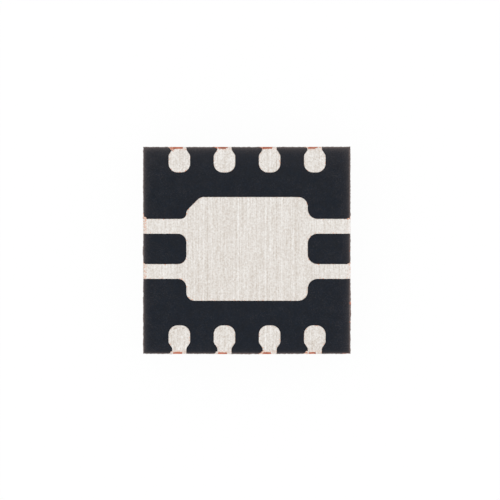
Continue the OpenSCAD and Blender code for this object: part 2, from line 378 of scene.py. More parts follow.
def add_layer(bm, outline, thickness, place, rim=RIM_RADIUS, band=0.0, inner=()):
    """A plate with a rounded upper rim. place(x, y, height) puts a point of it in space.

    The sides and the small faces along the outline get material 1, and all others 0. The band is
    the width of those small faces, and there are none without it.
    """
    rim = min(rim, thickness * RIM_LIMIT)
    rings = [(0, 0), (0, thickness - rim)]
    for k in range(1, RIM_STEPS + 1):
        angle = math.radians(90 * k / RIM_STEPS)
        rings.append((rim * (1 - math.cos(angle)), thickness - rim * (1 - math.sin(angle))))
    loops = []
    for inset, height in rings:
        ring = grown(outline, -inset) if inset else outline
        loops.append([bm.verts.new(place(p.x, p.y, height)) for p in ring])
    count = len(outline)
    for low, high in zip(loops, loops[1:]):
        for i in range(count):
            j = (i + 1) % count
            bm.faces.new((low[i], low[j], high[j], high[i])).material_index = 1
    for loop, flip in ((loops[-1], False), (loops[0], True)):
        flat = grown(outline, -rings[-1][0]) if not flip else outline
        points, triangles = filled(flat, band_points(flat, band) if band and not flip else inner)
        height = 0 if flip else thickness
        verts = dict(enumerate(loop))
        for triangle in triangles:
            for index in triangle:
                if index not in verts:
                    verts[index] = bm.verts.new(place(points[index].x, points[index].y, height))
            corners = [verts[index] for index in triangle]
            if len(set(corners)) == 3:
                face = bm.faces.new(corners[::-1] if flip else corners)
                at_rim = any(index < count for index in triangle)
                longest = max(edge.calc_length() for edge in face.edges)
                face.material_index = int(at_rim and longest < BAND_STRETCH * band)


def finished(bm, name, materials, replaces=()):
    """Makes a piece of a mesh in millimetres and lets it ride on the chip."""
    bmesh.ops.remove_doubles(bm, verts=bm.verts, dist=WELD / 2)
    bmesh.ops.dissolve_degenerate(bm, edges=bm.edges, dist=WELD / 4)
    bmesh.ops.recalc_face_normals(bm, faces=bm.faces)
    bmesh.ops.scale(bm, vec=(MM,) * 3, verts=bm.verts)
    mesh = bpy.data.meshes.new(name)
    bm.to_mesh(mesh)
    bm.free()
    for material in materials:
        mesh.materials.append(material)
    mesh.shade_smooth()
    mesh.set_sharp_from_angle(angle=math.radians(SHARP_ANGLE))
    for face in mesh.polygons:
        face.use_smooth = abs(face.normal.z) < FLAT_NORMAL
    piece = bpy.data.objects.new(name, mesh)
    bpy.context.scene.collection.objects.link(piece)
    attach(piece, "root")
    if replaces:
        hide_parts(*replaces)


def cut_up(bm, axis, positions, near):
    """Cuts the faces whose middles are near by planes square to the axis."""
    cut_faces(bm, axis, sorted(positions), [f for f in bm.faces if near(f.calc_center_median())])


def cut_faces(bm, axis, positions, faces):
    """Cuts the faces at the middle one of the sorted positions, and then each half at the others."""
    if not positions or not faces:
        return
    middle = len(positions) // 2
    position = positions[middle]
    normal = Vector((0, 0, 0))
    normal[axis] = 1
    geometry = faces + list({e for f in faces for e in f.edges}) + list({v for f in faces for v in f.verts})
    made = bmesh.ops.bisect_plane(bm, geom=geometry, dist=WELD, plane_co=normal * position, plane_no=normal)
    halves = ([], [])
    for piece in made["geom"]:
        if isinstance(piece, bmesh.types.BMFace):
            halves[piece.calc_center_median()[axis] > position].append(piece)
    cut_faces(bm, axis, positions[:middle], halves[0])
    cut_faces(bm, axis, positions[middle + 1:], halves[1])


def steps_between(low, high, step):
    """Regular places from low to high, with the closer lines that both ends need."""
    parts = max(1, round((high - low) / step))
    places = [low + (high - low) * k / parts for k in range(1, parts)]
    places += [low + inset for inset in EDGE_INSETS]
    places += [high - inset for inset in EDGE_INSETS]
    return sorted(p for p in {round(place, 5) for place in places} if low < p < high)


def softened(point, planes, radius):
    """Moves a point near an edge between planes (axis, position, outward sign) onto a radius."""
    reached = []
    for axis, position, sign in planes:
        over = radius - sign * (position - point[axis])
        if over > 0:
            reached.append((axis, position, sign, over))
    if len(reached) < 2:
        return point
    largest = max(over for *_, over in reached)
    length = math.sqrt(sum(over * over for *_, over in reached))
    moved = point.copy()
    for axis, position, sign, over in reached:
        moved[axis] = position - sign * (radius - over * largest / length)
    return moved


# Materials

# A pattern's grain sizes along x, y and z in mm, its seed, how much detail it has and how rough
Pattern = namedtuple("Pattern", "x y z seed detail roughness", defaults=(2.0, 0.5))
# Round grains: their spacing in mm, their seed and the largest radius as a share of the spacing
Grains = namedtuple("Grains", "spacing seed radius")
# What one step of the seed adds to the place of a pattern, and to that of grains
PATTERN_SHIFT = (7.3, 3.1, 5.7)
GRAINS_SHIFT = (0.37, 0.51, 0.73)
# The smallest grains' share of the largest radius, and where a grain's soft rim begins
LEAST_GRAIN = 0.25
GRAIN_RIM = 0.7


def even(size, seed, detail=2.0, roughness=0.5):
    """A pattern with grains of the same size along all three axes."""
    return Pattern(size, size, size, seed, detail, roughness)


class Finish:
    """A procedural material whose patterns are sized in millimetres on the object."""

    def __init__(self, name, colour, roughness, metallic=0.0, specular=0.5):
        self.material = bpy.data.materials.new(name)
        self.material.use_nodes = True
        self.roughness = roughness
        self.tree = self.material.node_tree
        self.surface = self.tree.nodes["Principled BSDF"]
        self.surface.inputs["Base Color"].default_value = (*colour, 1)
        self.surface.inputs["Roughness"].default_value = roughness
        self.surface.inputs["Metallic"].default_value = metallic
        self.surface.inputs["Specular IOR Level"].default_value = specular
        place = self.node("TexCoord").outputs["Object"]
        scaled = self.node("VectorMath", {0: place, "Scale": 1 / MM}, operation="SCALE")
        self.place = scaled.outputs[0]
        self.axes = self.node("SeparateXYZ", {0: self.place}).outputs

    def node(self, kind, inputs=None, **settings):
        node = self.tree.nodes.new("ShaderNode" + kind)
        for name, value in settings.items():
            setattr(node, name, value)
        for key, value in (inputs or {}).items():
            if isinstance(value, bpy.types.NodeSocket):
                self.tree.links.new(value, node.inputs[key])
            else:
                node.inputs[key].default_value = value
        return node

    def math(self, operation, *values):
        return self.node("Math", dict(enumerate(values)), operation=operation).outputs[0]

    def chained(self, operation, values):
        total = values[0]
        for value in values[1:]:
            total = self.math(operation, total, value)
        return total

    def plus(self, *values):
        return self.chained("ADD", values)

    def times(self, *values):
        return self.chained("MULTIPLY", values)

    def least(self, *values):
        return self.chained("MINIMUM", values)

    def sum_of(self, *parts):
        """The sum of the (value, gain) parts."""
        return self.plus(*[self.times(value, gain) for value, gain in parts])

    def about(self, centre, *parts):
        """The centre plus the sum of the (value, gain) parts."""
        return self.plus(centre, self.sum_of(*parts))

    def noise(self, pattern):
        """The pattern's noise, about 0."""
        scale = [1 / size for size in pattern[:3]]
        shift = [pattern.seed * step for step in PATTERN_SHIFT]
        stretched = self.node("VectorMath", {0: self.place, 1: scale}, operation="MULTIPLY")
        shifted = self.node("VectorMath", {0: stretched.outputs[0], 1: shift}, operation="ADD")
        inputs = {"Vector": shifted.outputs[0], "Scale": 1.0}
        inputs.update({"Detail": pattern.detail, "Roughness": pattern.roughness})
        texture = self.node("TexNoise", inputs)
        return self.math("SUBTRACT", texture.outputs["Fac"], 0.5)

    def grains(self, grains):
        """Round grains of random radius and brightness: (mask, brightness)."""
        shift = [grains.seed * step for step in GRAINS_SHIFT]
        shifted = self.node("VectorMath", {0: self.place, 1: shift}, operation="ADD")
        texture = self.node("TexVoronoi", {"Vector": shifted.outputs[0], "Scale": 1 / grains.spacing})
        random = self.node("SeparateColor", {0: texture.outputs["Color"]}).outputs
        share = self.plus(self.times(random[1], 1 - LEAST_GRAIN), LEAST_GRAIN)
        radius = self.times(share, grains.radius)
        mask = self.ramp(self.math("DIVIDE", texture.outputs["Distance"], radius), 1.0, GRAIN_RIM)
        return mask, random[0]

    def ramp(self, value, start, end, low=0.0, high=1.0):
        """Goes smoothly from low to high as the value goes from start to end."""
        inputs = {0: value, 1: start, 2: end, 3: low, 4: high}
        return self.node("MapRange", inputs, interpolation_type="SMOOTHSTEP").outputs[0]

    def distance(self, axis, place):
        """Distance along an axis from a place on it."""
        return self.math("ABSOLUTE", self.math("SUBTRACT", self.axes[axis], place))

    def from_side(self, axis, sign):
        """Distance inwards from one of the moulding's sawn sides."""
        if sign > 0:
            return self.math("SUBTRACT", mould_high[axis], self.axes[axis])
        return self.math("SUBTRACT", self.axes[axis], mould_low[axis])

    def from_sides(self, axes=(X, Y)):
        """Distance inwards from the nearest of the sawn sides across the axes."""
        return self.least(*[self.from_side(axis, sign) for axis in axes for sign in (-1, 1)])

    def fading(self, distance, strength, reach):
        """strength at distance 0, falling off by e in each reach."""
        return self.times(self.math("EXPONENT", self.math("MULTIPLY", distance, -1 / reach)), strength)

    def mixed(self, share, first, second):
        """The first colour, turning to the second with the share."""
        colours = [c if isinstance(c, bpy.types.NodeSocket) else (*c, 1) for c in (first, second)]
        inputs = {0: share, 6: colours[0], 7: colours[1]}
        return self.node("Mix", inputs, data_type="RGBA").outputs[2]

    def brightened(self, colour, factor):
        """The colour times the factor."""
        return self.node("VectorMath", {0: colour, "Scale": factor}, operation="SCALE").outputs[0]

    def paint(self, colour):
        self.tree.links.new(colour, self.surface.inputs["Base Color"])

    def dull(self, *parts):
        """Adds the sum of the (value, gain) parts to the roughness."""
        self.tree.links.new(self.about(self.roughness, *parts), self.surface.inputs["Roughness"])

    def relief(self, *parts):
        """Bump from the sum of the (value, gain) parts, in micrometres."""
        inputs = {"Strength": 1.0, "Distance": MM * MM, "Height": self.sum_of(*parts)}
        bump = self.node("Bump", inputs)
        self.tree.links.new(bump.outputs[0], self.surface.inputs["Normal"])


# The solder face of the moulding

FACE_GRAIN = even(0.012, 2)
FACE_CLOUD = even(0.12, 3)
FACE_HUE = even(0.08, 26, 4.0, 0.8)
FACE_SPECKS = even(0.015, 18, 1.0)
FACE_FILLER = Grains(0.035, 4, 0.3)
FACE_GLOSS = even(0.03, 5)
FACE_RELIEF = even(0.018, 6, 3.0)
# The hue turns to MOULD_WARM along Y, in each mm by this much
HUE_SLOPE = 0.02
# The saw's dust and painted glare lighten the moulding along its four sawn edges: (axis, sign, strength,
# reach)
EDGE_DUST_AND_GLARE = (
    (Y, 1, 1.30, 0.03),
    (Y, 1, 0.20, 0.17),
    (X, -1, 1.1, 0.027),
    (X, 1, 0.75, 0.03),
    (X, 1, 0.07, 0.12),
    (Y, -1, 0.70, 0.018),
    (Y, -1, 0.04, 0.1),
)
DUST_AND_GLARE_PATCHES = even(0.02, 1)
# Strength at the edge and reach: of more specks at the left and right sides, of the copper's dust,
# of the worn edge and of what the saw has wiped over it
SPECKS_FALL = (0.09, 0.25)
COPPER_DUST_FALL = (0.8, 0.012)
WEAR_FALL = (1.3, 0.006)
WIPE_FALL = (1.2, 0.005)
FACE_COPPER_DUST = Pattern(0.016, 0.03, 0.016, 19, 1.0)
WEAR_PATCHES = even(0.02, 27)
# The sawn sides whose torn edge is brown with copper dust where it stands out furthest, and the
# distances outwards between which that sets in
DUSTED_EDGES = ((X, 1), (Y, -1))
DUSTED_BETWEEN = (0.001, -0.004)
# Stretches of the sawn edges over which the saw has wiped copper: (axis, sign, middle along the
# side, half the length), and the share of that half that is wiped fully
COPPER_WIPES = ((Y, -1, 1.43, 0.065), (X, 1, -0.758, 0.024), (X, 1, -1.03, 0.01), (X, 1, -0.01, 0.01))
WIPED_FULLY = 0.6


def mould_face_finish():
    f = Finish("mould_solder_face", MOULD, 0.62, specular=0.16)
    cloud = f.noise(FACE_CLOUD)
    filler, brightness = f.grains(FACE_FILLER)
    hue = f.about(f.noise(FACE_HUE), (f.axes[Y], HUE_SLOPE))
    grain = f.about(1.0, (f.noise(FACE_GRAIN), 1.6), (cloud, 0.3))
    base = f.brightened(f.mixed(f.ramp(hue, -0.12, 0.12), MOULD, MOULD_WARM), grain)
    density = f.about(f.fading(f.from_sides((X,)), *SPECKS_FALL), (cloud, 0.35))
    fine = f.ramp(f.plus(f.noise(FACE_SPECKS), density), 0.12, 0.2, 0.0, 0.24)
    specks = f.about(fine, (f.times(filler, f.ramp(brightness, 0.8, 1.0)), 0.08))
    # Lightening along the sawn edges: partly dust, partly painted glare
    dust_and_glare = f.plus(*[f.fading(f.from_side(axis, sign), *fall) for axis, sign, *fall in EDGE_DUST_AND_GLARE])
    dust_and_glare = f.times(dust_and_glare, f.about(1.0, (f.noise(DUST_AND_GLARE_PATCHES), 1.6)))
    dusty_and_glared = f.mixed(f.plus(f.least(dust_and_glare, 0.95), specks), base, MOULD_DUST_AND_GLARE)
    f.paint(worn_edges(f, dusty_and_glared))
    f.dull((f.noise(FACE_GLOSS), 0.25))
    f.relief((f.noise(FACE_RELIEF), 1.2), (filler, 0.15))
    return f.material


def worn_edges(f, colour):
    """The solder face's colour with what the saw has left along its edges."""
    from_edge = f.from_sides()
    copper_dust = f.ramp(f.noise(FACE_COPPER_DUST), 0.11, 0.18)
    colour = f.mixed(f.times(copper_dust, f.fading(from_edge, *COPPER_DUST_FALL)), colour, COPPER_DUST)
    wear = f.times(f.fading(from_edge, *WEAR_FALL), f.about(1.0, (f.noise(WEAR_PATCHES), 3.0)))
    colour = f.mixed(f.least(wear, 0.9), colour, WORN_EDGE)
    for axis, sign in DUSTED_EDGES:
        beyond = f.ramp(f.from_side(axis, sign), *DUSTED_BETWEEN, 0.0, 0.75)
        colour = f.mixed(beyond, colour, COPPER_DUST)
    for axis, sign, middle, half in COPPER_WIPES:
        stretch = f.ramp(f.distance(1 - axis, middle), half, WIPED_FULLY * half)
        wiped = f.times(stretch, f.fading(f.from_side(axis, sign), *WIPE_FALL))
        colour = f.mixed(f.least(wiped, 0.95), colour, COPPER_FRESH)
    return colour


# The sawn sides, the marked face and the burnt dot on it

SAWN_FILLER = Grains(0.06, 7, 0.45)
SAWN_FINE_FILLER = Grains(0.024, 8, 0.48)
SAWN_LINES = Pattern(0.6, 0.6, 0.006, 9, 3.0)
SAWN_CLOUD = Pattern(0.2, 0.2, 0.1, 10)
SAWN_COPPER_DUST = Pattern(0.016, 0.016, 0.010, 19, 1.0)
SAWN_RELIEF = even(0.02, 11)
# How far below the solder face copper dust lies, and strength and reach of the line along the edge
DUST_DEPTH = 0.06
DUST_LINE_FALL = (0.8, 0.007)

MARKED_GRAIN = even(0.014, 12, 1.0)
MARKED_CLOUD = even(0.3, 13, 3.0)
MARKED_GLOSS = even(0.05, 14)
MARKED_RELIEF = even(0.03, 15, 3.0)

BURNT_GRAIN = even(0.012, 16, 3.0)
BURNT_RELIEF = even(0.012, 17, 3.0)


def sawn_mould_finish():
    """Mould compound cut through: its glassy filler shows, and the saw's fine level lines."""
    f = Finish("mould_sawn_sides", SAWN_MOULD, 0.6, specular=0.2)
    large, large_tone = f.grains(SAWN_FILLER)
    small, small_tone = f.grains(SAWN_FINE_FILLER)
    lines = f.noise(SAWN_LINES)
    colour = f.brightened(SAWN_MOULD, f.about(1.0, (lines, 1.0), (f.noise(SAWN_CLOUD), 0.5)))
    colour = f.mixed(f.times(small, f.ramp(small_tone, 0.3, 1.0), 0.5), colour, FILLER_LIGHT)
    colour = f.mixed(f.times(large, f.ramp(large_tone, 0.5, 0.1), 0.5), colour, FILLER_DARK)
    colour = f.mixed(f.times(large, f.ramp(large_tone, 0.6, 1.0), 0.4), colour, FILLER_LIGHT)
    copper_dust = f.ramp(f.noise(SAWN_COPPER_DUST), 0.10, 0.17, 0.0, 0.7)
    near_top = f.ramp(f.axes[Z], mould_high.z - DUST_DEPTH, mould_high.z)
    line = f.fading(f.math("SUBTRACT", mould_high.z, f.axes[Z]), *DUST_LINE_FALL)
    f.paint(f.mixed(f.math("MAXIMUM", f.times(copper_dust, near_top), line), colour, COPPER_DUST))
    f.dull((large, -0.2), (lines, 0.3))
    f.relief((lines, 2.0), (large, 0.5), (f.noise(SAWN_RELIEF), 1.2))
    return f.material


def marked_face_finish():
    f = Finish("mould_marked_face", MARKED_MOULD, 0.6, specular=0.25)
    grain = f.noise(MARKED_GRAIN)
    cloud = f.noise(MARKED_CLOUD)
    base = f.brightened(MARKED_MOULD, f.about(1.0, (grain, 1.2), (cloud, 0.5)))
    f.paint(f.mixed(f.ramp(f.about(grain, (cloud, 0.15)), 0.13, 0.22, 0.0, 0.3), base, MOULD_DUST_AND_GLARE))
    f.dull((f.noise(MARKED_GLOSS), 0.3))
    f.relief((f.noise(MARKED_RELIEF), 6.0), (grain, 2.0))
    return f.material


def burnt_dot_finish():
    f = Finish("mould_burnt_dot", BURNT_MOULD, 0.85, specular=0.2)
    f.paint(f.brightened(BURNT_MOULD, f.about(1.0, (f.noise(BURNT_GRAIN), 1.4))))
    f.relief((f.noise(BURNT_RELIEF), 3.0))
    return f.material


# The tin

LONG_LINES = Pattern(0.022, 6.0, 1.0, 20, 2.0, 0.7)
SHORT_LINES = Pattern(0.018, 0.22, 1.0, 21, 2.0, 0.6)
TIN_GRAIN = Pattern(0.02, 0.024, 0.02, 22, 2.0, 0.6)
TIN_CLOUD = Pattern(0.25, 0.35, 0.3, 23, 1.0)
TIN_SPECKS = even(0.013, 24, 1.0)
RIM_SPECKS = even(0.024, 38, 1.0)
# The deepest lines that brushing has left in the tin: place along X in mm, and gain. They are this
# wide, and come and go along Y.
BRUSH_LINES = (
    (-0.751, 0.07),
    (-0.621, 0.05),
    (-0.564, -0.15),
    (-0.506, 0.065),
    (-0.121, 0.13),
    (-0.067, -0.07),
    (0.271, 0.11),
    (0.343, 0.13),
    (0.433, -0.07),
    (0.501, 0.15),
    (0.703, -0.05),
)
BRUSH_LINE_WIDTH = 0.0115
BRUSH_LINE_DASHES = Pattern(0.05, 0.2, 1.0, 39)
# Two dents in the tin near terminal 8's tip: their middles and half their sizes, in mm
DENTS = ((-1.026, -1.12, 0.027, 0.009), (-0.916, -1.12, 0.02, 0.009))
# Painted shade: how much the dents' colour is darkened, besides their bump
DENT_SHADE = -0.25
DENT_DEPTH = 2.5
# The tin's tone varies about that of TIN, and this much of it leads from TIN_DARK to TIN_LIGHT
TONE_RANGE = 0.56
# The tie bars show the brush lines less than the pad and are a little lighter, fully so from
# BAR_START beyond it. The tone rises along Y, in each mm by TONE_SLOPE, and at the right cut.
BAR_LINES = 0.85
BAR_LIFT = 0.03
BAR_START = 0.15
TONE_SLOPE = 0.016
SWEPT_FALL = (0.14, 0.03)
# Copper is smeared over the tin in this band from each cut: where it starts, is full, thins out
# and ends. There is less of it at the right cut, and this far from it as much as elsewhere.
SMEAR_BAND = (0.006, 0.022, 0.035, 0.058)
LEAST_SMEAR = 0.2
RIGHT_SMEAR = 0.12
RIGHT_SMEAR_REACH = 0.2
# Pad and terminals differ in the gains of the brush lines, of the grain and of the copper that is
# smeared over their ends, and in a lift of the tone. The pad's tin has the tie bars.
PAD_TIN = {"lines": 1.0, "grit": 1.0, "smeared": 1.0, "lift": 0.0, "bars": True}
TERMINAL_TIN = {"lines": 0.8, "grit": 1.25, "smeared": 0.4, "lift": 0.01, "bars": False}


def tin_finish(name, rim, lines, grit, smeared, lift, bars):
    """Matte tin with brush lines along Y; the rim lets copper through in specks."""
    f = Finish(name, TIN, 0.42, metallic=1.0)
    long_lines = f.noise(LONG_LINES)
    short_lines = f.noise(SHORT_LINES)
    grain = f.noise(TIN_GRAIN)
    dented = dents(f)
    streaks = f.sum_of((long_lines, 0.45 * lines), (short_lines, 0.42 * lines))
    if bars:
        on_bar = f.ramp(f.math("ABSOLUTE", f.axes[X]), pad_half, pad_half + BAR_START)
        streaks = f.about(f.times(streaks, f.about(1.0, (on_bar, BAR_LINES - 1))), (on_bar, BAR_LIFT))
    # The dents are darkened with painted shade
    tone = f.about(streaks, (grain, 0.74 * grit), (f.noise(TIN_CLOUD), 0.06), (dented, DENT_SHADE))
    tone = f.about(f.plus(tone, lift), (f.axes[Y], TONE_SLOPE))
    tone = f.plus(tone, f.fading(f.from_side(X, 1), *SWEPT_FALL), deep_lines(f))
    colour = f.mixed(f.about(0.5, (tone, 1 / TONE_RANGE)), TIN_DARK, TIN_LIGHT)
    specks = f.noise(TIN_SPECKS)
    colour = f.mixed(f.ramp(specks, 0.15, 0.24, 0.0, 0.35), colour, THIN_TIN)
    if rim:
        large = f.ramp(f.noise(RIM_SPECKS), 0.15, 0.17, 0.0, 0.95)
        small = f.ramp(specks, 0.15, 0.18, 0.0, 0.8)
        colour = f.mixed(f.math("MAXIMUM", large, small), colour, BARE_SPECK)
    patches = f.ramp(specks, 0.015, 0.06, 0.0, smeared)
    f.paint(f.mixed(f.times(near_cut(f), patches), colour, BARE_SPECK))
    f.dull((grain, 0.25), (short_lines, 0.2))
    f.relief((long_lines, 0.35), (short_lines, 0.35), (grain, 0.6), (dented, -DENT_DEPTH))
    return f.material


def tin_finishes(name, settings):
    """The finishes of a plate and of its rim."""
    return [tin_finish(name, False, **settings), tin_finish(f"{name}_rim", True, **settings)]


def deep_lines(f):
    """What the deepest brush lines add to the tin's tone."""
    dashes = f.about(1.0, (f.noise(BRUSH_LINE_DASHES), 1.4))
    lines = [f.ramp(f.distance(X, x), BRUSH_LINE_WIDTH, 0.0, 0.0, gain) for x, gain in BRUSH_LINES]
    return f.times(f.plus(*lines), dashes)


def dents(f):
    """1 in the middle of each dent and 0 outside them."""
    hollows = []
    for x, y, half_length, half_width in DENTS:
        u = f.times(f.distance(X, x), 1 / half_length)
        v = f.times(f.distance(Y, y), 1 / half_width)
        hollows.append(f.ramp(f.plus(f.times(u, u), f.times(v, v)), 1.4, 0.4))
    return f.plus(*hollows)


def near_cut(f):
    """The share of smeared copper by the distance from the saw cuts."""
    start, full, thinning, end = SMEAR_BAND
    from_cut = f.from_sides()
    band = f.times(f.ramp(from_cut, end, thinning), f.ramp(from_cut, start, full, LEAST_SMEAR, 1.0))
    return f.times(band, f.ramp(f.from_side(X, 1), 0.0, RIGHT_SMEAR_REACH, RIGHT_SMEAR, 1.0))


# The copper's sawn ends, the burrs and what the moulding hides

COPPER_LINES = Pattern(0.35, 0.35, 0.014, 30, 3.0, 0.65)
COPPER_CLOUD = Pattern(0.06, 0.06, 0.04, 31, 3.0)
COPPER_RELIEF = even(0.012, 32)
TIN_TRACES = Pattern(0.05, 0.05, 0.01, 36)
SCRATCH_GLINTS = Pattern(0.15, 0.15, 0.007, 37, 2.0, 0.6)
# How far below the solder face tin has been dragged over the copper, and where the scratches with painted
# glints start
TIN_TRACES_DEPTH = 0.06
SCRATCH_GLINTS_TOP = (0.003, 0.02)

SMEAR_PATCHES = Pattern(0.018, 0.018, 0.012, 33)
SMEAR_SHARE = even(0.5, 35, 0.0)
SMEAR_RELIEF = Pattern(0.015, 0.015, 0.008, 34)
# Only burrs that lie further down the solder face than this hold tin
TINNED_FROM = (-0.9, -1.1)

HIDDEN_SEED = 40


def copper_finish():
    f = Finish("sawn_copper", COPPER_FRESH, 0.4, metallic=1.0)
    lines = f.noise(COPPER_LINES)
    cloud = f.noise(COPPER_CLOUD)
    below = f.math("SUBTRACT", mould_high.z, f.axes[Z])
    # Light and dark streaks along the saw lines: partly the copper's own fresh and dull bands, partly
    # painted reflection
    dull = f.ramp(f.about(lines, (cloud, 0.8)), -0.06, 0.2, 0.0, 0.85)
    colour = f.mixed(dull, COPPER_FRESH, COPPER_DULL_AND_DARK_REFLECTION)
    # Scratches near the solder face, lightened with painted glints
    scratch_glints = f.ramp(f.noise(SCRATCH_GLINTS), 0.09, 0.22, 0.0, 0.75)
    colour = f.mixed(f.times(scratch_glints, f.ramp(below, *SCRATCH_GLINTS_TOP)), colour, COPPER_GLINT)
    traces = f.ramp(f.about(f.noise(TIN_TRACES), (cloud, 0.5)), 0.16, 0.24, 0.0, 0.7)
    f.paint(f.mixed(f.times(traces, f.ramp(below, TIN_TRACES_DEPTH, 0.0)), colour, SMEARED))
    f.dull((cloud, 0.35), (lines, 0.3))
    f.relief((lines, 2.2), (f.noise(COPPER_RELIEF), 0.8))
    return f.material


def smear_finish():
    """Copper and tin that the saw has dragged into one another."""
    f = Finish("smeared_copper_and_tin", SMEARED, 0.4, metallic=1.0)
    patches = f.plus(f.noise(SMEAR_PATCHES), f.noise(SMEAR_SHARE))
    tinned = f.times(f.ramp(patches, -0.05, -0.15, 0.0, 0.9), f.ramp(f.axes[Y], *TINNED_FROM))
    colour = f.mixed(tinned, SMEARED, TIN)
    f.paint(f.mixed(f.ramp(patches, 0.0, 0.16, 0.05, 0.95), colour, COPPER_FRESH))
    f.relief((f.noise(SMEAR_RELIEF), 1.0))
    return f.material


def hidden_finish(name, colour, roughness, metallic, size, gain):
    """A finish for what the moulding hides: an even colour with a fine grain."""
    f = Finish(name, colour, roughness, metallic)
    grain = f.noise(Pattern(*size, HIDDEN_SEED, 3.0))
    f.paint(f.brightened(colour, f.about(1.0, (grain, gain))))
    f.relief((grain, 0.6))
    return f.material


# Moulding


def build_moulding():
    bm = cad_mesh("mold_body")
    *insets, reach = EDGE_INSETS
    for axis, sign, position in sawn_sides:
        cut_up(bm, axis, [position - sign * reach], lambda p: True)
    for axis, sign, position in sawn_sides:
        along = 1 - axis
        on_strip = lambda p: abs(p[axis] - position) < reach
        on_wall = lambda p: abs(p[axis] - position) < WELD
        cut_up(bm, along, steps_between(mould_low[along], mould_high[along], STATION_STEP), on_strip)
        cut_up(bm, axis, [position - sign * inset for inset in insets], on_strip)
        cut_up(bm, Z, steps_between(0, mould_high.z, WALL_ROW_STEP), on_wall)
    planes = [(axis, position, sign) for axis, sign, position in sawn_sides]
    planes += [(Z, mould_high.z, 1), (Z, 0.0, -1)]
    on_floor = lambda p: abs(p.z - DOT_DEPTH) < WELD and not on_side(p)
    for axis in (X, Y):
        steps = int(mould_high[axis] / DOT_STEP)
        cut_up(bm, axis, [k * DOT_STEP for k in range(-steps, steps + 1)], on_floor)
    for face in bm.faces:
        middle = face.calc_center_median()
        if on_side(middle):
            face.material_index = 1
        elif middle.z < WELD:
            face.material_index = 2
        elif middle.z < DOT_DEPTH + WELD:
            face.material_index = 3
    for vert in bm.verts:
        if on_floor(vert.co) and len(vert.link_faces) == 4:
            vert.co.z -= DOT_ROUGHNESS * max(0.0, 0.5 + noise.noise(vert.co / DOT_WAVE))
    for vert in bm.verts:
        vert.co = worn(vert.co, planes)
    materials = [mould_face_finish(), sawn_mould_finish(), marked_face_finish(), burnt_dot_finish()]
    finished(bm, "moulding", materials, ["mold_body"])


def torn_share(point):
    """1 at the moulding's two faces and falling off between them. A point in the plan gets 1."""
    if len(point) == 2:
        return 1.0
    return math.exp(-max(0.0, min(point.z, mould_high.z - point.z)) / TORN_REACH)


def swing_at(axis, sign, along, torn):
    """How far a sawn side stands out from its plane at a place along it."""
    bulges = SAW_BULGES[axis, sign]
    bulge = sum(height * max(0.0, 1 - ((along - place) / half) ** 2) ** 2 for place, half, height in bulges)
    return SAW_SWING[axis, sign] + bulge * torn


def swung(point):
    """The point moved with the sawn sides that it is near."""
    moved = point.copy()
    torn = torn_share(point)
    for axis, sign, position in sawn_sides:
        depth = sign * (position - point[axis])
        if depth < SAW_REACH:
            moved[axis] += sign * swing_at(axis, sign, point[1 - axis], torn) * (1 - depth / SAW_REACH)
    return moved


def on_side(point):
    return any(abs(point[axis] - position) < WELD for axis, _, position in sawn_sides)


def worn(point, planes):
    """A point of the moulding with its sharp edges chipped and its sawn sides uneven."""
    chipped = waves(point / CHIP_SPACING, CHIP_WAVES) * CHIP_GAIN - CHIP_START
    radius = EDGE_RADIUS + (CHIP_RADIUS - EDGE_RADIUS) * max(0.0, min(1.0, chipped))
    return softened(point, planes, radius) + swung(point) - point + rough_shift(point)


def rough_shift(point):
    """The shift of a point near the moulding's sawn sides by their unevenness."""
    shift = Vector((0, 0, 0))
    torn = torn_share(point)
    share = GROUND_SHARE + (1 - GROUND_SHARE) * torn
    for axis, sign, position in sawn_sides:
        depth = sign * (position - point[axis])
        if depth < SAW_REACH:
            place = Vector((point.x, point.y, point.z * SAW_UPRIGHT)) / SAW_WAVE
            rough = SAW_ROUGHNESS * waves(place, SAW_WAVES)
            inwards = rough * share + GROUND_DEPTH * (1 - torn) - TORN_RISE * torn
            shift[axis] -= sign * inwards * (1 - depth / SAW_REACH)
    return shift


# Copper


def sawn_ends(node):
    """A CAD node's ends on the saw cuts: (axis, sign, position, low, high), the last two along it."""
    bm = cad_mesh(node)
    ends = []
    for axis, sign, position in sawn_sides:
        on_cut = [v.co[1 - axis] for v in bm.verts if abs(v.co[axis] - position) < WELD]
        ends += [(axis, sign, position, group[0], group[-1]) for group in split_at_gaps(on_cut)]
    bm.free()
    return ends


def split_at_gaps(values):
    """The sorted values in groups, one for each sawn end."""
    groups = []
    for value in sorted(values):
        if groups and value - groups[-1][-1] < END_GAP:
            groups[-1].append(value)
        else:
            groups.append([value])
    return groups


def build_copper(node, name):
    bm = cad_mesh(node)
    top = max(v.co.z for v in bm.verts)
    bottom = min(v.co.z for v in bm.verts)
    *insets, reach = EDGE_INSETS[:-1]
    ends = sawn_ends(node)

    def within(point, end, depth):
        axis, sign, position, low, high = end
        beside = low - WELD < point[1 - axis] < high + WELD
        return beside and abs(point[axis] - position) < depth

    for end in ends:
        axis, sign, position, low, high = end
        near = lambda p: within(p, end, reach)
        cut_up(bm, axis, [position - sign * reach], lambda p: within(p, end, END_DEPTH))
        cut_up(bm, 1 - axis, steps_between(low, high, COPPER_STEP), near)
        cut_up(bm, Z, steps_between(bottom, top, COPPER_STEP), near)
        cut_up(bm, axis, [position - sign * inset for inset in insets], near)
    for vert in bm.verts:
        swing = swung(vert.co) - vert.co
        for end in ends:
            if within(vert.co, end, reach):
                vert.co = worn_end(vert.co, end, top, bottom, reach)
                break
        vert.co += swing
    finished(bm, name, [copper], [node])


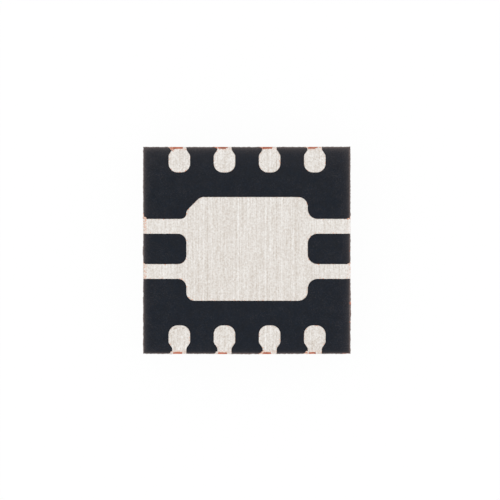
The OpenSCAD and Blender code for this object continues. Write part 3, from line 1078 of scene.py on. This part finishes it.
def worn_end(point, end, top, bottom, reach):
    """A point of a sawn end with its edges rounded and the end swollen by the saw."""
    axis, sign, position, low, high = end
    along = 1 - axis
    planes = ((axis, position, sign), (along, low, -1), (along, high, 1), (Z, top, 1), (Z, bottom, -1))
    share = 1 - abs(point[axis] - position) / reach
    swell = COPPER_SWELL * (0.5 + noise.noise(point / SWELL_WAVE))
    radius = COPPER_RADIUS * (1 + RADIUS_SPREAD * noise.noise(point / RADIUS_WAVE))
    moved = softened(point, planes, radius).copy()
    moved[axis] += sign * share * swell
    return moved


# Tin


def torn_outline(i):
    """The outline of a terminal's tin: its copper's, torn back at the saw cut."""
    axis, sign, position, low, high = sawn_ends(f"lead_{i}")[0]
    outline = top_outline(f"lead_{i}")
    on_cut = [k for k, p in enumerate(outline) if abs(p[axis] - position) < WELD]
    first = next(k for k in on_cut if (k + 1) % len(outline) in on_cut)
    rest = [outline[(first + 1 + k) % len(outline)] for k in range(len(outline))]
    middle = (low + high) / 2
    torn = [Vector((middle + u * MM, position - sign * v * MM)) for u, v in TORN_EDGES[i]]
    # Seen with the cut at the top, a counterclockwise outline runs from right to left along it
    if sign < 0:
        torn.reverse()
    last = torn[-1 if sign > 0 else 0]
    if abs(last.y - position) > WELD:
        left = Vector((low, position))
        flank = Vector((left.x, last.y - sign * FLANK_DROP))
        rest = [p for p in rest if (p - left).length > WELD]
        rest = [flank] + rest if sign > 0 else rest + [flank]
    return rest + torn


def lying(height_base):
    return lambda x, y, height: (x, y, height_base + height)


def build_tin(node, name, outline, seed, materials):
    bm = bmesh.new()
    rough = roughened(subdivided(outline, OUTLINE_STEP), seed, OUTLINE_ROUGHNESS)
    fine = [swung(p) for p in rough]
    add_layer(bm, fine, plating, lying(mould_high.z), band=RIM_BAND)
    finished(bm, name, materials, [node])


# What the saw has dragged along


def build_burr(name, end, towards, shape, length, width):
    """Metal beside a sawn end, on the side towards which the saw has run."""
    axis, sign, position, low, high = end
    root, along, inward = Vector((0, 0)), Vector((0, 0)), Vector((0, 0))
    root[axis] = position
    root[1 - axis] = high if towards > 0 else low
    along[1 - axis] = towards
    inward[axis] = -sign
    outline = [root + along * u * length * MM + inward * v * width * MM for u, v in shape]
    if sum(a.cross(b) for a, b in zip(outline, outline[1:] + outline[:1])) < 0:
        outline.reverse()
    rough = roughened(subdivided(outline, BURR_STEP), BURR_SEED + length, BURR_ROUGHNESS)
    fine = [swung(p) for p in rough]
    bm = bmesh.new()
    add_layer(bm, fine, BURR_HEIGHT, lying(mould_high.z - BURR_SINK), BURR_RIM)
    finished(bm, name, [smear])


def film_reach(z, seed):
    """How far a film reaches over the moulding at a height."""
    wide = FILM_MEAN + FILM_SPREAD * noise.noise(Vector((seed, 0, z / FILM_WAVE)))
    tongue = max(0.0, noise.noise(Vector((seed, 5, z / TONGUE_WAVE))) - TONGUE_START)
    return FILM_LENGTH * max(FILM_LEAST, min(1.0, wide + TONGUE_GAIN * tongue))


def build_film(name, end, towards, seed):
    """A torn film of copper over the moulding beside a sawn end."""
    axis, sign, position, low, high = end
    edge = high if towards > 0 else low
    top = mould_high.z - FILM_STEP
    rows = round((top - copper_bottom) / FILM_ROW_STEP)
    heights = [copper_bottom + (top - copper_bottom) * k / rows for k in range(rows + 1)]
    torn = [Vector((film_reach(z, seed), z)) for z in heights]
    outline = [Vector((-FILM_STEP, heights[0]))] + torn + [Vector((-FILM_STEP, heights[-1]))]
    inner = [Vector((k * FILM_STEP, p.y)) for p in torn[1:-1] for k in range(int(p.x / FILM_STEP - 0.5))]

    def place(x, z, height):
        point = Vector((0, 0, z))
        point[axis] = position
        point[1 - axis] = edge + towards * x
        moved = swung(point) + rough_shift(point)
        sunk = FILM_SINK if x < 0 else 0.0
        moved[axis] += sign * (height - FILM_THICKNESS / 2 + COPPER_SWELL / 2 - sunk)
        return moved

    bm = bmesh.new()
    add_layer(bm, outline, FILM_THICKNESS, place, FILM_THICKNESS / 2, inner=inner)
    finished(bm, name, [copper])


# The chip

build_moulding()

copper = copper_finish()
pad_tin = tin_finishes("brushed_tin", PAD_TIN)
terminal_tin = tin_finishes("terminal_tin", TERMINAL_TIN)
smear = smear_finish()
copper_bottom = box_mm("die_pad")[0].z
build_copper("die_pad", "leadframe_pad")
build_tin("pad_plating", "pad_tin", top_outline("die_pad"), 0, pad_tin)
for i in LEADS:
    build_copper(f"lead_{i}", f"terminal_{i}")
    build_tin(f"lead_plating_{i}", f"terminal_tin_{i}", torn_outline(i), i, terminal_tin)
    end = sawn_ends(f"lead_{i}")[0]
    build_burr(f"terminal_burr_{i}", end, -1, *BURRS[i])
    build_film(f"terminal_film_{i}", end, -1, i)
for k, end in enumerate(sawn_ends("die_pad")):
    build_burr(f"bar_burr_{k + 1}", end, 1, *BAR_BURRS[k])
    build_film(f"bar_film_{k + 1}", end, 1, BAR_FILM_SEED + k)

hidden = {
    "silicon_die": hidden_finish("ground_silicon", SILICON, 0.25, 0.6, (0.01, 0.2, 0.1), 0.3),
    "die_attach": hidden_finish("silver_glue", GLUE, 0.5, 0.5, (0.01, 0.01, 0.01), 0.6),
}
gold = hidden_finish("drawn_gold", GOLD, 0.25, 1.0, (0.02, 0.02, 0.02), 0.15)
hidden.update({f"bond_wire_{i}": gold for i in LEADS})
hidden["ground_bond_wire"] = gold
for node, material in hidden.items():
    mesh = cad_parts[node].data
    mesh.materials.clear()
    mesh.materials.append(material)

# Floor, light and camera


def build_floor():
    """A white floor that keeps a faint shadow and looks white to the camera and in reflections."""
    half = FLOOR_HALF * MM
    mesh = bpy.data.meshes.new("floor")
    corners = [(-half, -half, 0), (half, -half, 0), (half, half, 0), (-half, half, 0)]
    mesh.from_pydata(corners, [], [range(4)])
    floor = bpy.data.objects.new("floor", mesh)
    floor.location.z = -FLOOR_DROP * MM
    bpy.context.scene.collection.objects.link(floor)
    f = Finish("white_floor", FLOOR_COLOUR, 0.9, specular=0.0)
    rays = f.node("LightPath").outputs
    seen = [rays[kind] for kind in ("Is Camera Ray", "Is Glossy Ray", "Is Transmission Ray")]
    glow = f.node("Emission", {"Color": (1, 1, 1, 1), "Strength": FLOOR_WHITE})
    share = f.times(f.chained("MAXIMUM", seen), FLOOR_GLOW)
    mix = f.node("MixShader", {0: share, 1: f.surface.outputs[0], 2: glow.outputs[0]})
    output = f.tree.nodes["Material Output"]
    f.tree.links.new(mix.outputs[0], output.inputs["Surface"])
    mesh.materials.append(f.material)


def light_room():
    world = bpy.data.worlds.new("soft_room")
    world.use_nodes = True
    background = world.node_tree.nodes["Background"]
    background.inputs["Color"].default_value = (1, 1, 1, 1)
    background.inputs["Strength"].default_value = WORLD_STRENGTH
    bpy.context.scene.world = world
    sun = bpy.data.lights.new("window", "SUN")
    sun.energy = SUN_STRENGTH
    sun.angle = math.radians(SUN_ANGLE)
    sun_object = bpy.data.objects.new("window", sun)
    sun_object.rotation_euler = [math.radians(angle) for angle in (*SUN_TILT, 0)]
    bpy.context.scene.collection.objects.link(sun_object)


def place_camera():
    """Straight above the solder face, so far away that the photograph's width fills the picture."""
    camera = bpy.data.cameras.new("camera")
    camera.lens = LENS
    camera.sensor_width = SENSOR
    camera.clip_start = MM
    camera.clip_end = FARTHEST * MM
    camera_object = bpy.data.objects.new("camera", camera)
    height = solder_z + PHOTO_WIDTH * LENS / SENSOR
    camera_object.location = [distance * MM for distance in (*PHOTO_CENTRE, height)]
    bpy.context.scene.collection.objects.link(camera_object)
    bpy.context.scene.camera = camera_object


build_floor()
light_room()
place_camera()
bpy.context.scene.view_settings.view_transform = "Standard"
